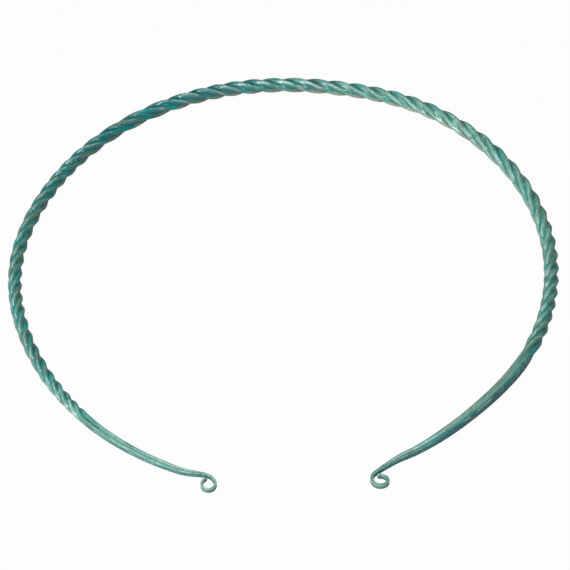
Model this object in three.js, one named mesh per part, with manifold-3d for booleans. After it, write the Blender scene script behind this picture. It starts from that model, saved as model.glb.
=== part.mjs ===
// Bronze torc: an open neck ring made from one square bar.
// The middle of the bar is twisted like rope, both ends are left plain and drawn thin,
// and each thin end is rolled outwards into a small eyelet beside the mouth.
//
// Millimetres, +Z up. The torc lies flat. Its mouth faces -Y, the origin is at the middle
// of its outline on the surface it lies on, and distances along the bar start at the left tip.

import * as THREE from 'three';
import { mergeVertices } from 'three/addons/utils/BufferGeometryUtils.js';
import Module from 'manifold-3d';

// --- Driving dimensions -------------------------------------------------------------------

// The hand-bent hoop: distance from its centre to the middle of the bar, at even angles,
// counted clockwise from the middle of the mouth as seen from above.
const HOOP_RADII = [93.2, 93.0, 92.8, 93.2, 91.8, 91.4, 91.4, 91.6, 94.0, 93.6, 92.2, 90.4, 88.2, 90.2];
const HOOP_FIRST_ANGLE = 15;
const HOOP_STEP_ANGLE = 25;
const HOOP_FROM_ANGLE = 20.5;
const HOOP_TO_ANGLE = 336.5;
const HOOP_POINTS = 65;

// The eyelets. The bar passes the eyelet's centre at passRadius, tightens to loopRadius
// within easeAngle and rolls on to its tip. Angles start at the far side of the eyelet, and
// widen is the eyelet's width across the torc as a share of its depth.
const LEFT_EYELET = {
  centre: [-24.7, -92.2], turn: 1, loopRadius: 2.35, passRadius: 3.69, widen: 0.94,
  startAngle: -10, easeAngle: 76, tipAngle: 350,
};
const RIGHT_EYELET = {
  centre: [30.5, -90.9], turn: -1, loopRadius: 2.02, passRadius: 3.62, widen: 1.22,
  startAngle: 14.5, easeAngle: 99.5, tipAngle: 384.5,
};
const EYELET_POINTS = 25;

// Thickness of the bar: [distance along the bar, thickness across, height].
const BAR = [
  [0, 0.85, 1.65], [8, 1.00, 1.80], [15, 1.00, 1.80], [20, 1.58, 2.15], [31, 2.30, 2.30],
  [45, 2.60, 2.60], [56, 2.85, 2.85], [80, 3.60, 3.60], [116, 3.95, 3.95], [164, 4.10, 4.10],
  [212, 4.30, 4.30], [356, 4.50, 4.50], [404, 4.45, 4.45], [440, 4.25, 4.25], [476, 3.92, 3.92],
  [500, 3.34, 3.34], [514, 3.00, 3.00], [526, 2.38, 2.40], [533, 1.74, 2.15], [538, 1.20, 2.15],
  [546, 1.12, 2.15], [554, 0.98, 1.95],
];

// The twist: right-handed, done by hand, so the length of a quarter turn wanders.
const TWIST_FROM = 62.5;
const TWIST_TO = 472;
const TWIST_QUARTER_TURNS = 58;
const QUARTER_TURN_LENGTHS = [3.7, 6.3, 5.5, 6.9, 6.4, 10.4, 6.6, 8.3, 7.0, 8.2, 8.9, 6.9, 5.7, 7.7];
const TWIST_EASE_IN = 3;
const TWIST_EASE_OUT = 14;

// The section: a square with worn corners and slightly hollow faces, as shares of its width.
const CORNER_WEAR = 0.13;
const FACE_HOLLOW = 0.03;
const TWIST_REACH = 1.244;

// Ridges and plain ends are worn flat underneath, so that the torc lies steady.
const WEAR_DEPTH = 0.15;

// Facets.
const STEPS_PER_QUARTER_TURN = 4;
const EYELET_STEP = 0.75;
const PLAIN_STEP = 4;
const TWIST_SAMPLES = 4096;

const BRONZE = { color: 0x4f9c8c, roughness: 0.45, metalness: 0.35 };

// --- Curves -------------------------------------------------------------------------------

function smoothStep(value) {
  return THREE.MathUtils.smoothstep(value, 0, 1);
}

// Smooth value between evenly spaced entries of a list.
function smoothLookup(list, position) {
  const last = list.length - 1;
  const place = THREE.MathUtils.clamp(position, 0, last - 1e-9);
  const index = Math.floor(place);
  const before = index > 0 ? list[index - 1] : 2 * list[0] - list[1];
  const after = index + 2 <= last ? list[index + 2] : 2 * list[last] - list[last - 1];
  const t = place - index;
  const a = -0.5 * before + 1.5 * list[index] - 1.5 * list[index + 1] + 0.5 * after;
  const b = before - 2.5 * list[index] + 2 * list[index + 1] - 0.5 * after;
  const c = -0.5 * before + 0.5 * list[index + 1];
  return ((a * t + b) * t + c) * t + list[index];
}

// Points of the hoop's centre line, clockwise from the left side of the mouth.
function hoopPoints() {
  const points = [];
  for (let i = 0; i < HOOP_POINTS; i += 1) {
    const angle = THREE.MathUtils.lerp(HOOP_FROM_ANGLE, HOOP_TO_ANGLE, i / (HOOP_POINTS - 1));
    const radius = smoothLookup(HOOP_RADII, (angle - HOOP_FIRST_ANGLE) / HOOP_STEP_ANGLE);
    const radians = THREE.MathUtils.degToRad(angle);
    points.push(new THREE.Vector3(-radius * Math.sin(radians), -radius * Math.cos(radians), 0));
  }
  return points;
}

// Points of an eyelet's centre line, from the hoop to the tip: a spiral that closes to a loop.
function eyeletPoints(eyelet) {
  const points = [];
  for (let i = 0; i < EYELET_POINTS; i += 1) {
    const angle = THREE.MathUtils.lerp(eyelet.startAngle, eyelet.tipAngle, i / (EYELET_POINTS - 1));
    const open = 1 - THREE.MathUtils.clamp((angle - eyelet.startAngle) / eyelet.easeAngle, 0, 1);
    const radius = THREE.MathUtils.lerp(eyelet.loopRadius, eyelet.passRadius, open * open);
    const radians = THREE.MathUtils.degToRad(angle);
    points.push(new THREE.Vector3(
      eyelet.centre[0] + eyelet.turn * eyelet.widen * radius * Math.sin(radians),
      eyelet.centre[1] + radius * Math.cos(radians),
      0,
    ));
  }
  return points;
}

// The centre line of the whole bar, from the left tip to the right tip.
function barCentreLine() {
  const points = [
    ...eyeletPoints(LEFT_EYELET).reverse(),
    ...hoopPoints(),
    ...eyeletPoints(RIGHT_EYELET),
  ];
  const curve = new THREE.CatmullRomCurve3(points, false, 'centripetal');
  curve.arcLengthDivisions = points.length * 40;
  return curve;
}

// --- The bar along its length -------------------------------------------------------------

// Thickness across and height of the bar at a distance from the left tip.
function barSize(distance) {
  let i = 1;
  while (i < BAR.length - 1 && BAR[i][0] < distance) {
    i += 1;
  }
  const [from, acrossFrom, heightFrom] = BAR[i - 1];
  const [to, acrossTo, heightTo] = BAR[i];
  const t = THREE.MathUtils.clamp((distance - from) / (to - from), 0, 1);
  return {
    across: THREE.MathUtils.lerp(acrossFrom, acrossTo, t),
    height: THREE.MathUtils.lerp(heightFrom, heightTo, t),
  };
}

// How far the twist has got, in quarter turns, at even steps between its two ends.
function twistTable() {
  const length = TWIST_TO - TWIST_FROM;
  const step = length / (TWIST_SAMPLES - 1);
  const table = [0];
  let rateBefore = 0;
  for (let i = 1; i < TWIST_SAMPLES; i += 1) {
    const along = i * step;
    const place = (along / length) * (QUARTER_TURN_LENGTHS.length - 1);
    const ease = smoothStep(along / TWIST_EASE_IN) * smoothStep((length - along) / TWIST_EASE_OUT);
    const rate = ease / smoothLookup(QUARTER_TURN_LENGTHS, place);
    table.push(table[i - 1] + 0.5 * (rate + rateBefore) * step);
    rateBefore = rate;
  }
  const scale = TWIST_QUARTER_TURNS / table[TWIST_SAMPLES - 1];
  return table.map((value) => value * scale);
}

const twist = twistTable();

function quarterTurnsAt(distance) {
  const share = THREE.MathUtils.clamp((distance - TWIST_FROM) / (TWIST_TO - TWIST_FROM), 0, 1);
  const place = share * (TWIST_SAMPLES - 1);
  const index = Math.min(Math.floor(place), TWIST_SAMPLES - 2);
  return THREE.MathUtils.lerp(twist[index], twist[index + 1], place - index);
}

// Height of the bar's centre line: the ridges of the twist reach lower than a plain face.
function centreHeight(distance, height) {
  const twisted = smoothStep((distance - TWIST_FROM + 4) / 10) * smoothStep((TWIST_TO + 4 - distance) / 16);
  return (height / 2) * THREE.MathUtils.lerp(1, TWIST_REACH, twisted) - WEAR_DEPTH;
}

// Distances at which the bar gets a section: even steps at the eyelets and plain ends,
// and even parts of a quarter turn along the twist.
function stationDistances(length) {
  const leftPlain = BAR[3][0];
  const rightPlain = BAR[BAR.length - 4][0];
  const stations = [];
  const addSteps = (from, to, step) => {
    const count = Math.ceil((to - from) / step);
    for (let i = 0; i < count; i += 1) {
      stations.push(from + ((to - from) * i) / count);
    }
  };
  addSteps(0, leftPlain, EYELET_STEP);
  addSteps(leftPlain, TWIST_FROM, PLAIN_STEP);
  let wanted = 0;
  for (let i = 0; i < TWIST_SAMPLES; i += 1) {
    if (twist[i] >= wanted) {
      stations.push(THREE.MathUtils.lerp(TWIST_FROM, TWIST_TO, i / (TWIST_SAMPLES - 1)));
      wanted += 1 / STEPS_PER_QUARTER_TURN;
    }
  }
  addSteps(TWIST_TO + PLAIN_STEP / 2, rightPlain, PLAIN_STEP);
  addSteps(rightPlain, length, EYELET_STEP);
  stations.push(length);
  return stations;
}

// --- The solid ----------------------------------------------------------------------------

// One square section of width 1, anticlockwise: two points for each worn corner and one
// in the middle of each hollow face.
function sectionOutline() {
  const corner = 0.5 - CORNER_WEAR;
  const side = [[0.5, corner], [corner, 0.5], [0, 0.5 - FACE_HOLLOW]];
  const outline = [];
  for (let quarter = 0; quarter < 4; quarter += 1) {
    const turn = (quarter * Math.PI) / 2;
    for (const [x, z] of side) {
      outline.push([x * Math.cos(turn) - z * Math.sin(turn), x * Math.sin(turn) + z * Math.cos(turn)]);
    }
  }
  return outline;
}

// The corners of the bar's section at one distance, turned by the twist.
function sectionAt(curve, length, distance, outline) {
  const middle = curve.getPointAt(distance / length);
  const along = curve.getTangentAt(distance / length);
  const outwards = new THREE.Vector3(-along.y, along.x, 0).normalize();
  const { across, height } = barSize(distance);
  const turn = (quarterTurnsAt(distance) * Math.PI) / 2;
  const lift = centreHeight(distance, height);
  return outline.map(([x, z]) => {
    const out = x * across * Math.cos(turn) - z * height * Math.sin(turn);
    const up = x * across * Math.sin(turn) + z * height * Math.cos(turn);
    return [middle.x + outwards.x * out, middle.y + outwards.y * out, lift + up];
  });
}

// The closed skin of the bar: a ring of corners at each station, and a flat cap at each tip.
function barGeometry() {
  const curve = barCentreLine();
  const length = curve.getLength();
  const outline = sectionOutline();
  const sides = outline.length;
  const rings = stationDistances(length).map((distance) => sectionAt(curve, length, distance, outline));
  const triangles = [];
  for (let ring = 0; ring + 1 < rings.length; ring += 1) {
    for (let side = 0; side < sides; side += 1) {
      const next = (side + 1) % sides;
      const here = ring * sides;
      const ahead = here + sides;
      triangles.push(here + side, here + next, ahead + side);
      triangles.push(here + next, ahead + next, ahead + side);
    }
  }
  const lastRing = (rings.length - 1) * sides;
  for (let side = 1; side + 1 < sides; side += 1) {
    triangles.push(0, side + 1, side);
    triangles.push(lastRing, lastRing + side, lastRing + side + 1);
  }
  const geometry = new THREE.BufferGeometry();
  geometry.setAttribute('position', new THREE.Float32BufferAttribute(rings.flat(2), 3));
  geometry.setIndex(triangles);
  return geometry;
}

// --- Wear flats ---------------------------------------------------------------------------

const wasm = await Module();
wasm.setup();

function toSolid(geometry) {
  const bare = geometry.clone();
  bare.deleteAttribute('normal');
  bare.deleteAttribute('uv');
  const merged = mergeVertices(bare, 1e-5);
  return new wasm.Manifold(new wasm.Mesh({
    numProp: 3,
    vertProperties: new Float32Array(merged.attributes.position.array),
    triVerts: new Uint32Array(merged.index.array),
  }));
}

function toGeometry(solid) {
  const mesh = solid.getMesh();
  const geometry = new THREE.BufferGeometry();
  geometry.setAttribute('position', new THREE.BufferAttribute(mesh.vertProperties, 3));
  geometry.setIndex(new THREE.BufferAttribute(mesh.triVerts, 1));
  return geometry;
}

// Everything below the surface that the torc lies on.
function groundSlab() {
  const size = 4 * Math.max(...HOOP_RADII);
  const depth = 10;
  return new THREE.BoxGeometry(size, size, depth).translate(0, 0, -depth / 2);
}

// --- The torc -----------------------------------------------------------------------------

function torcGeometry() {
  const worn = toSolid(barGeometry()).subtract(toSolid(groundSlab()));
  const geometry = toGeometry(worn);
  geometry.computeBoundingBox();
  const middle = geometry.boundingBox.getCenter(new THREE.Vector3());
  geometry.translate(-middle.x, -middle.y, 0);
  geometry.computeVertexNormals();
  return geometry;
}

const torc = new THREE.Mesh(torcGeometry(), new THREE.MeshStandardMaterial(BRONZE));
torc.name = 'torc';

const part = new THREE.Group();
part.add(torc);

export default part;
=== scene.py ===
"""Bronze torc: the looks of an open, twisted neck ring with a blue-green patina.

The whole torc is one skin, worked out with numpy as a section carried along the bar.
Sizes are in millimetres until a mesh is made, and distances along the bar start at the left tip.
"""
import math
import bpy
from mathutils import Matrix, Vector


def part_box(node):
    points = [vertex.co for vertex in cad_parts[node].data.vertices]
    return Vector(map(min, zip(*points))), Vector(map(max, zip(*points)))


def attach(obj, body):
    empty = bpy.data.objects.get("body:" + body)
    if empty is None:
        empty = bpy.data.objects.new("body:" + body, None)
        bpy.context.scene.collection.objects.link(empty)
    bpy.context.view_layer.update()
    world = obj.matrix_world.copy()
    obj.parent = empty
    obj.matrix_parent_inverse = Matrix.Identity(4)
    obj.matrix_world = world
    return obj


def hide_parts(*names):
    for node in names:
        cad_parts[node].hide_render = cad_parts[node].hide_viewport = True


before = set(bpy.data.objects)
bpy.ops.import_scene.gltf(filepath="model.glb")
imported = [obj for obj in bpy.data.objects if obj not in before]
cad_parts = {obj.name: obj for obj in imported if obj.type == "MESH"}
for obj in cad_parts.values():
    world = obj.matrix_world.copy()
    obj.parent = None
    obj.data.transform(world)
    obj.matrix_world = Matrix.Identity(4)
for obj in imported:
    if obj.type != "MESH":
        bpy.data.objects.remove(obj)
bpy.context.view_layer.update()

from types import SimpleNamespace

import bpy
import numpy as np
from mathutils import Vector

MM = 0.001

# --- The bar's driving dimensions, as in the solid ------------------------------------------

# The hoop's radius at even steps of angle, clockwise from the mouth.
HOOP_RADII = [93.2, 93.0, 92.8, 93.2, 91.8, 91.4, 91.4, 91.6, 94.0, 93.6, 92.2, 90.4, 88.2, 90.2]
HOOP_FIRST_ANGLE = 15
HOOP_STEP_ANGLE = 25
HOOP_FROM_ANGLE = 20.5
HOOP_TO_ANGLE = 336.5
HOOP_POINTS = 65

LEFT_EYELET = dict(centre=(-24.7, -92.2), turn=1, loop_radius=2.35, pass_radius=3.69, widen=0.94,
                   start_angle=-10, ease_angle=76, tip_angle=350)
RIGHT_EYELET = dict(centre=(30.5, -90.9), turn=-1, loop_radius=2.02, pass_radius=3.62, widen=1.22,
                    start_angle=14.5, ease_angle=99.5, tip_angle=384.5)
EYELET_POINTS = 25
CURVE_STEPS = 40

# [distance along the bar, thickness across, height]
BAR = np.array([
    [0, 0.85, 1.65], [8, 1.00, 1.80], [15, 1.00, 1.80], [20, 1.58, 2.15], [31, 2.30, 2.30],
    [45, 2.60, 2.60], [56, 2.85, 2.85], [80, 3.60, 3.60], [116, 3.95, 3.95], [164, 4.10, 4.10],
    [212, 4.30, 4.30], [356, 4.50, 4.50], [404, 4.45, 4.45], [440, 4.25, 4.25], [476, 3.92, 3.92],
    [500, 3.34, 3.34], [514, 3.00, 3.00], [526, 2.38, 2.40], [533, 1.74, 2.15], [538, 1.20, 2.15],
    [546, 1.12, 2.15], [554, 0.98, 1.95],
])

TWIST_FROM = 62.5
TWIST_TO = 472
TWIST_QUARTER_TURNS = 58
# How long a quarter turn is, at evenly spaced places along the twist.
QUARTER_TURN_LENGTHS = [3.7, 6.3, 5.5, 6.9, 6.4, 10.4, 6.6, 8.3, 7.0, 8.2, 8.9, 6.9, 5.7, 7.7]
TWIST_STEPS = 4096
TWIST_EASE_IN = 3
TWIST_EASE_OUT = 14
TWIST_REACH = 1.244
WEAR_DEPTH = 0.15

# The bar rises from its plain height to the twist's over these lengths, which start and end
# this far outside the twist.
RISE_OUTSIDE = 4
RISE_LEFT = 10
RISE_RIGHT = 16

# --- Fineness and relief of the skin --------------------------------------------------------

STATIONS = 1720
SIDES = 56
OUTLINE_STEPS = 4001
SQUARENESS = 5.2

# Shares of the bar's thickness.
FACE_HOLLOW = 0.08
TIP_LEAST_SHARE = 0.02
SWELL = 0.006

# Millimetres: the skin stays this far inside the solid, and the tips are rounded over this length.
SKIN_INSET = 0.03
TIP_ROUNDING = 0.45

# Metres that the UV map gives to one turn around the bar.
UV_AROUND = 0.015

# Depths of the relief, in millimetres. Raised relief is mostly rubbed off the ridges, and all
# relief is shallower where the bar is thinner than the full thickness.
HAMMER_DEPTH = 0.045
FACET_DEPTH = 0.022
FACET_DEPTH_ADDED_BY_TWIST = 0.004
LINE_DEPTH = 0.016
CRUST_HEIGHT = 0.008
PIT_DEPTH = 0.10
SMALL_PIT_DEPTH = 0.008
RIDGE_RUBBED = 0.9
FULL_RELIEF_THICKNESS = 3
LEAST_REACH = 0.3

# How dark a small pit is beside a large one.
SMALL_PIT_SHARE = 0.35

# Dust and painted light go on faces that look this much up and towards the inside of the hoop.
DUST_AND_LIGHT_UP = 0.85
DUST_AND_LIGHT_INWARDS = 0.53


# --- Curves ---------------------------------------------------------------------------------

def smooth_step(value):
    """0 up to 0, 1 from 1 on, and 3v^2 - 2v^3 between them."""
    v = np.clip(value, 0, 1)
    return v * v * (3 - 2 * v)


def smooth_lookup(values, place):
    """Catmull-Rom curve through evenly spaced values, read at places counted in entries."""
    v = np.asarray(values, float)
    v = np.concatenate([[2 * v[0] - v[1]], v, [2 * v[-1] - v[-2]]])
    place = np.clip(place, 0, len(values) - 1 - 1e-9)
    i = np.floor(place).astype(int)
    t = place - i
    a = -0.5 * v[i] + 1.5 * v[i + 1] - 1.5 * v[i + 2] + 0.5 * v[i + 3]
    b = v[i] - 2.5 * v[i + 1] + 2 * v[i + 2] - 0.5 * v[i + 3]
    c = -0.5 * v[i] + 0.5 * v[i + 2]
    return ((a * t + b) * t + c) * t + v[i + 1]


def hoop_points():
    """Hoop: a point at radius(angle) for even angles, clockwise from the mouth's left side."""
    angle = np.linspace(HOOP_FROM_ANGLE, HOOP_TO_ANGLE, HOOP_POINTS)
    radius = smooth_lookup(HOOP_RADII, (angle - HOOP_FIRST_ANGLE) / HOOP_STEP_ANGLE)
    radians = np.radians(angle)
    return np.stack([-radius * np.sin(radians), -radius * np.cos(radians)], axis=1)


def eyelet_points(eyelet):
    """Eyelet: a spiral whose radius falls by the square of what is left of ease_angle."""
    angle = np.linspace(eyelet["start_angle"], eyelet["tip_angle"], EYELET_POINTS)
    left = 1 - np.clip((angle - eyelet["start_angle"]) / eyelet["ease_angle"], 0, 1)
    radius = eyelet["loop_radius"] + (eyelet["pass_radius"] - eyelet["loop_radius"]) * left ** 2
    radians = np.radians(angle)
    x = eyelet["centre"][0] + eyelet["turn"] * eyelet["widen"] * radius * np.sin(radians)
    y = eyelet["centre"][1] + radius * np.cos(radians)
    return np.stack([x, y], axis=1)


def curve_through(points, steps):
    """Centripetal Catmull-Rom curve: each stretch is a cubic with knots at root distances."""
    p = np.vstack([2 * points[0] - points[1], points, 2 * points[-1] - points[-2]])
    knots = np.sqrt(np.linalg.norm(np.diff(p, axis=0), axis=1))[:, None]
    p0, p1, p2, p3 = p[:-3], p[1:-2], p[2:-1], p[3:]
    k0, k1, k2 = knots[:-2], knots[1:-1], knots[2:]
    leave = ((p1 - p0) / k0 - (p2 - p0) / (k0 + k1) + (p2 - p1) / k1) * k1
    arrive = ((p2 - p1) / k1 - (p3 - p1) / (k1 + k2) + (p3 - p2) / k2) * k1
    t = np.linspace(0, 1, steps, endpoint=False)[None, :, None]
    square = -3 * p1 + 3 * p2 - 2 * leave - arrive
    cube = 2 * p1 - 2 * p2 + leave + arrive
    q = p1[:, None] + leave[:, None] * t + square[:, None] * t ** 2 + cube[:, None] * t ** 3
    return np.vstack([q.reshape(-1, 2), points[-1:]])


def centre_line():
    """The bar's centre line as dense points, and the distance of each from the left tip."""
    left = eyelet_points(LEFT_EYELET)[::-1]
    line = curve_through(np.vstack([left, hoop_points(), eyelet_points(RIGHT_EYELET)]), CURVE_STEPS)
    steps = np.linalg.norm(np.diff(line, axis=0), axis=1)
    return line, np.concatenate([[0], np.cumsum(steps)])


def quarter_turns(distance):
    """How far the twist has got: the sum of 1 / quarter-turn length, eased at both ends."""
    along = np.linspace(0, TWIST_TO - TWIST_FROM, TWIST_STEPS)
    length = along[-1]
    place = along / length * (len(QUARTER_TURN_LENGTHS) - 1)
    ease = smooth_step(along / TWIST_EASE_IN) * smooth_step((length - along) / TWIST_EASE_OUT)
    rate = ease / smooth_lookup(QUARTER_TURN_LENGTHS, place)
    turned = np.concatenate([[0], np.cumsum((rate[1:] + rate[:-1]) / 2)])
    turned *= TWIST_QUARTER_TURNS / turned[-1]
    return np.interp(distance, along + TWIST_FROM, turned)


def twisted_share(distance):
    """1 where the bar is twisted and 0 at the plain ends, with a smooth step between them."""
    left = smooth_step((distance - TWIST_FROM + RISE_OUTSIDE) / RISE_LEFT)
    right = smooth_step((TWIST_TO + RISE_OUTSIDE - distance) / RISE_RIGHT)
    return left * right


# --- Seeded noise over the skin -------------------------------------------------------------

def wander(distance, spacing, seed):
    """Smooth random curve along the bar, from -1 to 1, with a new value every spacing."""
    count = int(distance.max() / spacing) + 3
    return smooth_lookup(np.random.default_rng(seed).uniform(-1, 1, count), distance / spacing)


def ripple(distance, around, spacing, cells, seed):
    """Value noise on the skin: random heights on a lattice that closes around the bar."""
    rows = int(distance.max() / spacing) + 3
    lattice = np.random.default_rng(seed).uniform(-1, 1, (rows, cells))
    row = distance / spacing
    col = around * cells
    i = np.floor(row).astype(int)
    j = np.floor(col).astype(int)
    u = smooth_step(row - i)
    v = smooth_step(col - j)
    j0, j1 = j % cells, (j + 1) % cells
    near = lattice[i, j0] * (1 - v) + lattice[i, j1] * v
    far = lattice[i + 1, j0] * (1 - v) + lattice[i + 1, j1] * v
    return near * (1 - u) + far * u


def dents(distance, around, spacing, cells, size, seed):
    """Round dents: each lattice cell holds one, and its depth falls off as a bell."""
    rows = int(distance.max() / spacing) + 3
    rng = np.random.default_rng(seed)
    place = rng.uniform(0.15, 0.85, (rows, cells, 2))
    depth = rng.uniform(0, 1, (rows, cells)) ** 3
    row = distance / spacing
    col = around * cells
    i = np.floor(row).astype(int)
    j = np.floor(col).astype(int)
    total = np.zeros(np.broadcast(row, col).shape)
    for di in (-1, 0, 1):
        for dj in (-1, 0, 1):
            a = np.clip(i + di, 0, rows - 1)
            b = (j + dj) % cells
            off_row = row - (i + di) - place[a, b, 0]
            off_col = col - (j + dj) - place[a, b, 1]
            reach = size * (0.5 + 0.5 * depth[a, b])
            bell = np.exp(-(off_row ** 2 + off_col ** 2) / reach ** 2)
            total = np.maximum(total, depth[a, b] * bell)
    return total


# --- The skin -------------------------------------------------------------------------------

def section_outline():
    """Rounded square |x|^n + |z|^n = 0.5^n, hollowed by cos(2t)^4, as evenly spaced points.

    The third array is the crest: 0 in the middle of a face and 1 on a corner.
    """
    t = np.linspace(0, 2 * math.pi, OUTLINE_STEPS)
    c, s = np.cos(t), np.sin(t)
    radius = 0.5 * (np.abs(c) ** SQUARENESS + np.abs(s) ** SQUARENESS) ** (-1 / SQUARENESS)
    radius -= FACE_HOLLOW * np.cos(2 * t) ** 4
    x, z = radius * c, radius * s
    length = np.concatenate([[0], np.cumsum(np.hypot(np.diff(x), np.diff(z)))])
    even = np.linspace(0, length[-1], SIDES, endpoint=False)
    crest = (radius - radius.min()) / (radius.max() - radius.min())
    return np.interp(even, length, x), np.interp(even, length, z), np.interp(even, length, crest)


def bar_skin():
    """Grid of skin points [station, side] and the values that the finish follows."""
    line, length = centre_line()
    total = length[-1]
    distance = np.linspace(0, total, STATIONS)
    slope = np.stack([np.gradient(line[:, k], length) for k in (0, 1)], axis=1)
    middle = np.stack([np.interp(distance, length, line[:, k]) for k in (0, 1)], axis=1)
    along = np.stack([np.interp(distance, length, slope[:, k]) for k in (0, 1)], axis=1)
    along /= np.linalg.norm(along, axis=1)[:, None]
    outwards = np.stack([-along[:, 1], along[:, 0]], axis=1)

    x, z, crest = section_outline()
    d = distance[:, None]
    around = np.linspace(0, 1, SIDES, endpoint=False)[None, :]
    twisted = twisted_share(distance)

    across = np.interp(distance, BAR[:, 0], BAR[:, 1])
    height = np.interp(distance, BAR[:, 0], BAR[:, 2])
    swell = 1 + SWELL * wander(distance, spacing=11, seed=3)
    swell += SWELL * wander(distance, spacing=29, seed=4)
    tip = np.minimum(distance, total - distance) / TIP_ROUNDING
    tip = np.sqrt(1 - (1 - np.clip(tip, 0, 1)) ** 2)
    x = x[None, :] * (across * swell * np.maximum(tip, TIP_LEAST_SHARE))[:, None]
    z = z[None, :] * (height * swell * np.maximum(tip, TIP_LEAST_SHARE))[:, None]

    relief = skin_relief(d, around, crest[None, :], twisted[:, None])
    size = np.minimum(1, across / FULL_RELIEF_THICKNESS)[:, None]
    reach = np.hypot(x, z)
    grow = 1 + (relief["height"] * size - SKIN_INSET) / np.maximum(reach, LEAST_REACH)
    x, z = x * grow, z * grow

    turn = (quarter_turns(distance) * math.pi / 2)[:, None]
    out = x * np.cos(turn) - z * np.sin(turn)
    up = x * np.sin(turn) + z * np.cos(turn)
    lift = height / 2 * (1 + (TWIST_REACH - 1) * twisted) - WEAR_DEPTH
    px = middle[:, 0, None] + outwards[:, 0, None] * out
    py = middle[:, 1, None] + outwards[:, 1, None] * out
    pz = np.maximum(lift[:, None] + up, 0)
    points = np.stack([px, py, pz], axis=2)

    lean = np.hypot(out, up) + 1e-6
    values = dict(
        crest=np.broadcast_to(crest[None, :], out.shape),
        twisted=np.broadcast_to(twisted[:, None], out.shape),
        upward=up / lean,
        inner_top=(DUST_AND_LIGHT_UP * up - DUST_AND_LIGHT_INWARDS * out) / lean,
        pit=relief["pit"],
        crust=relief["crust"],
    )
    return points, distance, values


def skin_relief(d, around, crest, twisted):
    """Height of the skin above the clean bar, in mm, with its pits and its raised crust."""
    plain = 1 - twisted
    hammer = ripple(d, around, spacing=7, cells=8, seed=12) * HAMMER_DEPTH * plain
    facet_depth = FACET_DEPTH + FACET_DEPTH_ADDED_BY_TWIST * twisted
    facets = ripple(d, around, spacing=3.1, cells=8, seed=13) * facet_depth
    lines = ripple(d, around, spacing=26, cells=26, seed=14) * LINE_DEPTH * plain
    crust = ripple(d, around, spacing=2.1, cells=9, seed=15)
    crust = smooth_step((crust + 0.3 * ripple(d, around, spacing=1.2, cells=13, seed=16)) / 1.1)
    pit = dents(d, around, spacing=2.3, cells=6, size=0.16, seed=17)
    small_pit = dents(d, around, spacing=0.95, cells=14, size=0.26, seed=18)

    raised = hammer + facets + lines + CRUST_HEIGHT * crust
    raised = np.where(raised > 0, raised * (1 - RIDGE_RUBBED * crest), raised)
    height = raised - PIT_DEPTH * pit - SMALL_PIT_DEPTH * small_pit
    return dict(height=height, pit=np.maximum(pit, SMALL_PIT_SHARE * small_pit), crust=crust)


def skin_mesh(name, points, distance, values):
    """Closed mesh of a [station, side] grid, with a pole at each tip, a UV map and attributes."""
    stations, sides = points.shape[:2]
    ring = np.arange(stations * sides).reshape(stations, sides)
    here, ahead = ring[:-1], ring[1:]
    quads = np.stack([here, np.roll(here, -1, 1), np.roll(ahead, -1, 1), ahead], axis=2).reshape(-1, 4)
    poles = stations * sides + np.arange(2)
    first = np.stack([np.full(sides, poles[0]), np.roll(ring[0], -1), ring[0]], axis=1)
    last = np.stack([np.full(sides, poles[1]), ring[-1], np.roll(ring[-1], -1)], axis=1)
    verts = np.vstack([points.reshape(-1, 3), points[0].mean(0), points[-1].mean(0)])

    mesh = bpy.data.meshes.new(name)
    mesh.from_pydata((verts * MM).tolist(), [], quads.tolist() + first.tolist() + last.tolist())
    mesh.polygons.foreach_set("use_smooth", np.ones(len(mesh.polygons), bool))

    column = np.tile(np.arange(sides), stations - 1)
    v = np.stack([column, column + 1, column + 1, column], axis=1) / sides
    row = np.repeat(np.arange(stations - 1), sides)
    u = distance[np.stack([row, row, row + 1, row + 1], axis=1)] * MM
    quad_uv = np.stack([u, v * UV_AROUND], axis=2).reshape(-1, 2)
    pole_uv = np.zeros((len(first) + len(last), 3, 2))
    pole_uv[len(first):, :, 0] = distance[-1] * MM
    uv = mesh.uv_layers.new(name="bar")
    uv.data.foreach_set("uv", np.concatenate([quad_uv.ravel(), pole_uv.ravel()]).astype(np.float32))

    for key, grid in values.items():
        flat = np.concatenate([grid.ravel(), [grid[0].mean(), grid[-1].mean()]])
        mesh.attributes.new(key, "FLOAT", "POINT").data.foreach_set("value", flat.astype(np.float32))
    mesh.validate()
    mesh.update()
    return mesh


# --- Node helpers ---------------------------------------------------------------------------

def put(tree, kind, inputs=None, **settings):
    """Adds a node, sets its properties, and links or sets its inputs by name or number."""
    node = tree.nodes.new(kind)
    for key, value in settings.items():
        setattr(node, key, value)
    for key, value in (inputs or {}).items():
        socket = node.inputs[key]
        if isinstance(value, bpy.types.NodeSocket):
            tree.links.new(value, socket)
        else:
            socket.default_value = value
    return node


def sums(tree, operation, a, b=0.0, clamp=False):
    """One Math node's output."""
    return put(tree, "ShaderNodeMath", {0: a, 1: b}, operation=operation, use_clamp=clamp).outputs[0]


def times(tree, *factors):
    """The product of values, kept between 0 and 1 at each step."""
    product = factors[0]
    for factor in factors[1:]:
        product = sums(tree, "MULTIPLY", product, factor, True)
    return product


def scaled(tree, value, factor, offset=0.0):
    """value * factor + offset."""
    inputs = {0: value, 1: factor, 2: offset}
    return put(tree, "ShaderNodeMath", inputs, operation="MULTIPLY_ADD").outputs[0]


def remap(tree, value, low, high, to_low=0.0, to_high=1.0):
    """value from low..high to to_low..to_high, smooth and clamped."""
    inputs = {"Value": value, "From Min": low, "From Max": high, "To Min": to_low, "To Max": to_high}
    return put(tree, "ShaderNodeMapRange", inputs, interpolation_type="SMOOTHSTEP").outputs[0]


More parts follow.
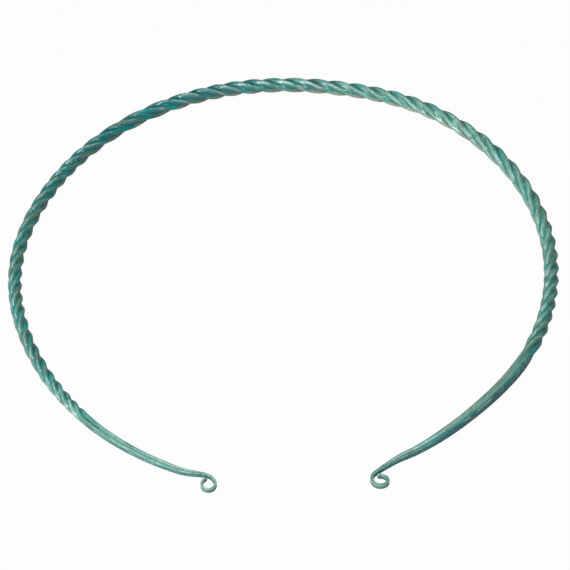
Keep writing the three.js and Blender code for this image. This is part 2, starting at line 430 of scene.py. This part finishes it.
def blend(tree, factor, a, b):
    """Colour a mixed with colour b by factor."""
    node = put(tree, "ShaderNodeMix", data_type="RGBA", blend_type="MIX")
    for socket, value in ((node.inputs[0], factor), (node.inputs[6], a), (node.inputs[7], b)):
        if isinstance(value, bpy.types.NodeSocket):
            tree.links.new(value, socket)
        else:
            socket.default_value = value
    return node.outputs[2]


def noise(tree, vector, scale, detail, rough=0.55):
    """A Noise Texture's factor."""
    inputs = {"Vector": vector, "Scale": scale, "Detail": detail, "Roughness": rough}
    return put(tree, "ShaderNodeTexNoise", inputs).outputs[0]


def colour(red, green, blue):
    """A colour given in 0..255 display values, as the linear colour a socket takes."""
    display = np.array([red, green, blue]) / 255
    linear = np.where(display <= 0.04045, display / 12.92, ((display + 0.055) / 1.055) ** 2.4)
    return (*map(float, linear), 1.0)


def new_group(name, inputs, outputs):
    """An empty shader node group with its input and output nodes' sockets.

    Inputs are (name, socket type, default) and outputs are (name, socket type).
    """
    tree = bpy.data.node_groups.new(name, "ShaderNodeTree")
    for label, kind, default in inputs:
        socket = tree.interface.new_socket(label, in_out="INPUT", socket_type=kind)
        if default is not None:
            socket.default_value = default
    for label, kind in outputs:
        tree.interface.new_socket(label, in_out="OUTPUT", socket_type=kind)
    return tree, tree.nodes.new("NodeGroupInput").outputs, tree.nodes.new("NodeGroupOutput").inputs


def use_group(tree, group, inputs):
    """Places a node group and returns its outputs."""
    node = tree.nodes.new("ShaderNodeGroup")
    node.node_tree = group
    for key, value in inputs.items():
        if isinstance(value, bpy.types.NodeSocket):
            tree.links.new(value, node.inputs[key])
        else:
            node.inputs[key].default_value = value
    return node.outputs


FLOAT = "NodeSocketFloat"
VECTOR = "NodeSocketVector"


# --- Shared effects -------------------------------------------------------------------------

def mottle_group():
    """Cloudy drift from dark to light: coarse noise with finer noise added."""
    tree, given, out = new_group(
        "mottle",
        [("Vector", VECTOR, None), ("Scale", FLOAT, 200.0)],
        [("Cloud", FLOAT)])
    fine = noise(tree, given["Vector"], scaled(tree, given["Scale"], 3.1), 1.5)
    coarse = noise(tree, given["Vector"], given["Scale"], 2.5)
    tree.links.new(sums(tree, "ADD", coarse, scaled(tree, fine, 0.28, -0.14)), out["Cloud"])
    return tree


def speck_group():
    """Mineral specks: the middles of small cells, only where a random cell value is low."""
    tree, given, out = new_group(
        "specks",
        [("Vector", VECTOR, None), ("Scale", FLOAT, 900.0), ("Share", FLOAT, 0.2), ("Size", FLOAT, 0.3)],
        [("Specks", FLOAT)])
    cells = put(tree, "ShaderNodeTexVoronoi", {"Vector": given["Vector"], "Scale": given["Scale"]})
    core = scaled(tree, given["Size"], 0.4)
    near = remap(tree, cells.outputs["Distance"], given["Size"], core)
    pick = put(tree, "ShaderNodeSeparateColor", {"Color": cells.outputs["Color"]}).outputs[0]
    chosen = sums(tree, "LESS_THAN", pick, given["Share"])
    tree.links.new(sums(tree, "MULTIPLY", near, chosen), out["Specks"])
    return tree


def stroke_group():
    """Strokes along the faces: noise on the bar's skin rolled round a thin cylinder.

    The UV map runs along the bar and once around its section, so the strokes follow the twist
    and close around the bar. Stretch below 1 makes them longer than they are wide.
    """
    tree, given, out = new_group(
        "strokes",
        [("UV", VECTOR, None), ("Scale", FLOAT, 900.0), ("Stretch", FLOAT, 0.1)],
        [("Strokes", FLOAT)])
    parts = put(tree, "ShaderNodeSeparateXYZ", {0: given["UV"]}).outputs
    angle = sums(tree, "MULTIPLY", parts[1], 2 * math.pi / UV_AROUND)
    radius = UV_AROUND / (2 * math.pi)
    rolled = put(tree, "ShaderNodeCombineXYZ", {
        0: sums(tree, "MULTIPLY", sums(tree, "COSINE", angle), radius),
        1: sums(tree, "MULTIPLY", sums(tree, "SINE", angle), radius),
        2: sums(tree, "MULTIPLY", parts[0], given["Stretch"]),
    })
    tree.links.new(noise(tree, rolled.outputs[0], given["Scale"], 2.0, 0.5), out["Strokes"])
    return tree


# --- The patina -----------------------------------------------------------------------------

# How the patina changes along the bar:
# [distance, deep teal, pale verdigris, khaki stain, dust with painted light on top and painted shade on
# the outer side].
PATINA = [
    [0, 0.10, 0.45, 0.30, 0.40], [20, 0.15, 0.45, 0.25, 0.40], [45, 0.25, 0.50, 0.10, 0.10],
    [66, 0.30, 0.38, 0.15, 0.00], [90, 0.40, 0.16, 0.35, 0.00], [130, 0.45, 0.12, 0.45, 0.00],
    [165, 0.65, 0.08, 0.45, 0.00], [195, 0.90, 0.04, 0.45, 0.00], [222, 1.00, 0.02, 0.35, 0.00],
    [250, 0.95, 0.05, 0.30, 0.00], [272, 0.75, 0.18, 0.25, 0.00], [300, 0.50, 0.42, 0.30, 0.00],
    [327, 0.25, 0.65, 0.35, 0.00], [380, 0.25, 0.58, 0.40, 0.00], [410, 0.30, 0.45, 0.35, 0.00],
    [436, 0.35, 0.32, 0.35, 0.00], [462, 0.60, 0.16, 0.40, 0.15], [480, 0.80, 0.10, 0.25, 0.60],
    [510, 1.00, 0.05, 0.15, 0.55], [524, 0.65, 0.10, 0.55, 0.30], [538, 0.45, 0.30, 0.35, 0.30],
    [554, 0.15, 0.50, 0.15, 0.30],
]


# Colours that drift between a darker and a lighter one.
TEAL = colour(0, 92, 104), colour(4, 136, 134)
GREEN = colour(36, 104, 92), colour(74, 158, 142)
VERDIGRIS = colour(104, 168, 152), colour(158, 212, 197)
OLIVE = colour(92, 92, 60), colour(146, 138, 104)
# Partly painted shade: the darker teal of the outer side on the plain ends.
RICH_TEAL_AND_SHADE = colour(0, 78, 88), colour(0, 126, 132)
# Deeper teal for the hollows of the twist, partly painted shade.
GROOVES_AND_SHADE = colour(0, 84, 88), colour(28, 116, 108)

# Single colours.
BRIGHT_TEAL = colour(16, 160, 154)
DUSKY_GREEN = colour(30, 76, 66)
# Painted reflection of the white floor, on the lower edges of the twist.
PAINTED_FLOOR_REFLECTION = colour(206, 198, 182)
TEAL_BELOW = colour(0, 98, 106)
# Pale dust with painted light, on faces that look up and inwards.
PALE_DUST_AND_LIGHT = colour(152, 174, 152)
CRUST = colour(156, 200, 182)
WORN_RIDGE = colour(172, 190, 168)
PALE_SPECK = colour(200, 206, 186)
RUSTY_SPECK = colour(184, 118, 92)
DARK_LINE = colour(24, 58, 50)
LIGHT_LINE = colour(170, 214, 202)
PIT_DIRT = colour(36, 54, 44)

PATINA_COLUMNS = ("deep", "pale", "khaki", "dusty")
SKIN_VALUES = PATINA_COLUMNS + ("crest", "twisted", "upward", "inner_top", "pit", "crust")


def skin_readings(tree, effects):
    """What the layers follow: the values stored on the skin, and clouds, strokes and specks."""
    place = put(tree, "ShaderNodeTexCoord").outputs
    spot, uv = place["Object"], place["UV"]

    def stored(name):
        return put(tree, "ShaderNodeAttribute", attribute_name=name).outputs["Fac"]

    def cloud(scale):
        return use_group(tree, effects["mottle"], {"Vector": spot, "Scale": scale})["Cloud"]

    def strokes(scale, stretch):
        inputs = {"UV": uv, "Scale": scale, "Stretch": stretch}
        return use_group(tree, effects["strokes"], inputs)["Strokes"]

    def specks(scale, share, size):
        inputs = {"Vector": spot, "Scale": scale, "Share": share, "Size": size}
        return use_group(tree, effects["specks"], inputs)["Specks"]

    skin = SimpleNamespace(**{name: stored(name) for name in SKIN_VALUES})
    skin.plain = scaled(tree, skin.twisted, -1.0, 1.0)
    crust = remap(tree, skin.crust, 0.1, 0.9)
    skin.crusted = times(tree, crust, scaled(tree, skin.pale, 1.2), 0.5)
    skin.broad_cloud = cloud(110.0)
    skin.cloud = cloud(330.0)
    skin.grains = noise(tree, spot, 2600.0, 3.0, 0.6)
    skin.wide_strokes = strokes(430.0, 0.3)
    skin.long_strokes = strokes(620.0, 0.16)
    skin.short_strokes = strokes(900.0, 0.35)
    skin.fine_strokes = strokes(1100.0, 0.08)
    skin.pale_specks = specks(1150.0, 0.10, 0.32)
    skin.rusty_specks = specks(720.0, 0.05, 0.30)
    return skin


def ground_colour(tree, skin):
    """Teal or green ground, with verdigris in strokes, and bright and dusky patches."""
    teal = blend(tree, skin.broad_cloud, *TEAL)
    green = blend(tree, skin.broad_cloud, *GREEN)
    base = blend(tree, skin.deep, green, teal)

    strokes = remap(tree, skin.long_strokes, 0.42, 0.60)
    pale_strokes = times(tree, strokes, scaled(tree, skin.pale, 1.25))
    pale_cover = sums(tree, "MAXIMUM", pale_strokes, times(tree, skin.pale, 0.55))
    base = blend(tree, pale_cover, base, blend(tree, skin.cloud, *VERDIGRIS))

    light_cloud = remap(tree, skin.cloud, 0.42, 0.62)
    bright = times(tree, remap(tree, skin.long_strokes, 0.50, 0.36), light_cloud, 0.55)
    base = blend(tree, bright, base, BRIGHT_TEAL)
    dark_cloud = remap(tree, skin.cloud, 0.46, 0.30)
    dusky = times(tree, dark_cloud, remap(tree, skin.long_strokes, 0.36, 0.56), 0.65)
    return blend(tree, dusky, base, DUSKY_GREEN)


def stained(tree, skin, base):
    """Khaki stains, a painted floor reflection below, dust with painted light and shade on plain ends,
    and painted shade in grooves.
    """
    olive = blend(tree, skin.cloud, *OLIVE)
    stain = times(tree, remap(tree, skin.wide_strokes, 0.47, 0.62), skin.khaki)
    base = blend(tree, stain, base, olive)

    # Faces that look down: on the twist, khaki mixed with a painted pale reflection of the floor, more
    # of it where the verdigris is pale. The plain ends are teal there.
    olive_and_floor_reflection = blend(tree, sums(tree, "ADD", skin.pale, 0.3, True), olive, PAINTED_FLOOR_REFLECTION)
    streaks = remap(tree, skin.long_strokes, 0.25, 0.60, 0.95, 0.45)
    beneath = times(tree, remap(tree, skin.upward, 0.10, -0.50), streaks)
    base = blend(tree, beneath, base, blend(tree, skin.plain, olive_and_floor_reflection, TEAL_BELOW))

    # Where the last column is high, the outer side gets a richer, darker teal that is partly painted
    # shade, and faces that look up and inwards get pale dust with painted light.
    outer_side = remap(tree, skin.inner_top, 0.55, 0.35)
    rich_teal_and_shade = times(tree, outer_side, skin.dusty, remap(tree, skin.upward, -0.6, 0.0), 1.2)
    base = blend(tree, rich_teal_and_shade, base, blend(tree, skin.broad_cloud, *RICH_TEAL_AND_SHADE))
    inner_side = remap(tree, skin.inner_top, 0.52, 0.70)
    dust_and_painted_light = times(tree, inner_side, skin.dusty, remap(tree, skin.long_strokes, 0.30, 0.62, 0.45, 0.9))
    base = blend(tree, dust_and_painted_light, base, PALE_DUST_AND_LIGHT)

    # Painted shade: the hollow middles of the twisted faces are darkened to a deeper teal, over the
    # patina's own colour.
    groove_shade = times(tree, remap(tree, skin.crest, 0.50, 0.05), skin.twisted, 0.65)
    return blend(tree, groove_shade, base, blend(tree, skin.pale, *GROOVES_AND_SHADE))


def worn(tree, skin, base):
    """Crust on the pale stretches, ridges worn in short runs, specks, lines and pits."""
    base = blend(tree, skin.crusted, base, CRUST)
    ridge = remap(tree, skin.crest, 0.80, 1.0)
    rubbed = times(tree, ridge, remap(tree, skin.short_strokes, 0.50, 0.62), 0.55)
    base = blend(tree, rubbed, base, WORN_RIDGE)
    base = blend(tree, times(tree, skin.pale_specks, 0.5), base, PALE_SPECK)
    rusty = times(tree, skin.rusty_specks, scaled(tree, skin.khaki, 1.6))
    base = blend(tree, rusty, base, RUSTY_SPECK)

    dark_share = scaled(tree, skin.plain, 0.12, 0.15)
    dark_lines = times(tree, remap(tree, skin.fine_strokes, 0.44, 0.36), dark_share, 0.8)
    base = blend(tree, dark_lines, base, DARK_LINE)
    light_share = sums(tree, "ADD", scaled(tree, skin.plain, 0.08), times(tree, skin.pale, 0.10))
    light_lines = times(tree, remap(tree, skin.fine_strokes, 0.56, 0.66), light_share)
    base = blend(tree, light_lines, base, LIGHT_LINE)
    return blend(tree, times(tree, remap(tree, skin.pit, 0.15, 0.7), 0.7), base, PIT_DIRT)


def patina_material(effects):
    """Old bronze under a half-glossy blue-green patina, glossier where it is deep teal."""
    material = bpy.data.materials.new("bronze_patina")
    material.use_nodes = True
    tree = material.node_tree
    tree.nodes.clear()
    skin = skin_readings(tree, effects)

    base = ground_colour(tree, skin)
    base = stained(tree, skin, base)
    base = worn(tree, skin, base)

    height = sums(tree, "ADD", scaled(tree, skin.grains, 0.08), scaled(tree, skin.cloud, 0.8))
    height = sums(tree, "ADD", height, scaled(tree, skin.fine_strokes, 0.10))
    bump = put(tree, "ShaderNodeBump", {"Height": height, "Strength": 0.35, "Distance": 0.0002})
    rough = remap(tree, skin.deep, 0.1, 0.9, 0.42, 0.30)
    rough = sums(tree, "ADD", rough, times(tree, skin.crusted, 0.10))
    rough = sums(tree, "ADD", rough, scaled(tree, skin.grains, 0.10, -0.05))

    shader = put(tree, "ShaderNodeBsdfPrincipled", {
        "Base Color": base, "Roughness": rough, "Metallic": 0.0, "Normal": bump.outputs[0],
        "Coat Weight": 0.6, "Coat Roughness": 0.20,
    })
    put(tree, "ShaderNodeOutputMaterial", {"Surface": shader.outputs[0]})
    return material


# --- The torc -------------------------------------------------------------------------------

def make_torc(effects):
    """The torc's skin, set on the middle of the solid's box."""
    points, distance, values = bar_skin()
    low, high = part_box("torc")
    middle = (np.array(low) + np.array(high)) / 2 / MM
    own = (points.reshape(-1, 3).min(0) + points.reshape(-1, 3).max(0)) / 2
    points[:, :, :2] += (middle - own)[:2]

    table = np.array(PATINA)
    for column, name in enumerate(PATINA_COLUMNS, start=1):
        level = np.interp(distance, table[:, 0], table[:, column])
        values[name] = np.broadcast_to(level[:, None], points.shape[:2])
    torc = bpy.data.objects.new("torc_skin", skin_mesh("torc_skin", points, distance, values))
    torc.data.materials.append(patina_material(effects))
    bpy.context.scene.collection.objects.link(torc)
    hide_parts("torc")
    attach(torc, "root")


# --- Stage, light and camera ----------------------------------------------------------------

FLOOR_REACH = 3.0
FLOOR_SEEN_GLOW = 0.97
FLOOR_SHADE = (0.32, 0.32, 0.32, 1)
FLOOR_SHADE_IN_GLOSS = (0.40, 0.40, 0.40, 1)
SURROUND_LEVEL = 0.03

CAMERA_ELEVATION = 48.25
CAMERA_DISTANCE = 0.85
CAMERA_LENS = 155.7
CAMERA_AIM = (0.00037, -0.0051, 0.0)

# Soft boxes around the torc: name, place, size and power.
LIGHTS = [
    ("key", (-0.42, -0.62, 0.66), 0.42, 7.8),
    ("left", (-0.85, -0.25, 0.46), 0.70, 1.8),
    ("front", (-0.50, -0.80, 0.30), 0.45, 2.5),
    ("top left", (-0.14, 0.05, 0.99), 0.20, 2.6),
    ("top right", (0.38, -0.04, 0.93), 0.18, 1.5),
]


def make_floor():
    """A plain floor, much wider than the view.

    The camera sees it almost evenly white, with a faint shadow. On the bronze it acts as a
    grey sheet: the light that it throws back is weak, and reflections of it are a little paler.
    """
    mesh = bpy.data.meshes.new("floor")
    size = FLOOR_REACH
    corners = [(-size, -size, 0), (size, -size, 0), (size, size, 0), (-size, size, 0)]
    mesh.from_pydata(corners, [], [(0, 1, 2, 3)])
    floor = bpy.data.objects.new("floor", mesh)
    material = bpy.data.materials.new("floor_white")
    material.use_nodes = True
    tree = material.node_tree
    tree.nodes.clear()
    rays = put(tree, "ShaderNodeLightPath").outputs
    paper = blend(tree, rays["Is Glossy Ray"], FLOOR_SHADE, FLOOR_SHADE_IN_GLOSS)
    matt = put(tree, "ShaderNodeBsdfDiffuse", {"Color": paper})
    even = put(tree, "ShaderNodeEmission", {"Color": (1, 1, 1, 1), "Strength": 1.0})
    seen = sums(tree, "MULTIPLY", rays["Is Camera Ray"], FLOOR_SEEN_GLOW)
    surface = put(tree, "ShaderNodeMixShader", {0: seen, 1: matt.outputs[0], 2: even.outputs[0]})
    put(tree, "ShaderNodeOutputMaterial", {"Surface": surface.outputs[0]})
    mesh.materials.append(material)
    bpy.context.scene.collection.objects.link(floor)


def make_light(name, place, size, power):
    """A white square area light at place, aimed at the middle of the torc."""
    light = bpy.data.lights.new(name, "AREA")
    light.size = size
    light.energy = power
    lamp = bpy.data.objects.new(name, light)
    lamp.location = place
    lamp.rotation_mode = "QUATERNION"
    lamp.rotation_quaternion = (-Vector(place)).to_track_quat("-Z", "Y")
    bpy.context.scene.collection.objects.link(lamp)


def make_world():
    """A dim, even, white surround."""
    world = bpy.data.worlds.new("surround")
    world.use_nodes = True
    background = world.node_tree.nodes["Background"]
    background.inputs["Color"].default_value = (1.0, 1.0, 1.0, 1)
    background.inputs["Strength"].default_value = SURROUND_LEVEL
    bpy.context.scene.world = world


def make_camera():
    """A long lens on the torc from the front and above."""
    data = bpy.data.cameras.new("camera")
    data.lens = CAMERA_LENS
    data.sensor_width = 36
    camera = bpy.data.objects.new("camera", data)
    tilt = math.radians(CAMERA_ELEVATION)
    back = Vector((0, -math.cos(tilt), math.sin(tilt)))
    camera.location = Vector(CAMERA_AIM) + back * CAMERA_DISTANCE
    camera.rotation_mode = "QUATERNION"
    camera.rotation_quaternion = (-back).to_track_quat("-Z", "Y")
    bpy.context.scene.collection.objects.link(camera)
    bpy.context.scene.camera = camera


def make_stage():
    """Floor, camera and lights: most light comes from the front left, and some from overhead."""
    make_floor()
    make_camera()
    for name, place, size, power in LIGHTS:
        make_light(name, place, size, power)
    make_world()
    bpy.context.scene.view_settings.view_transform = "Standard"


effects = {"mottle": mottle_group(), "specks": speck_group(), "strokes": stroke_group()}
make_torc(effects)
make_stage()
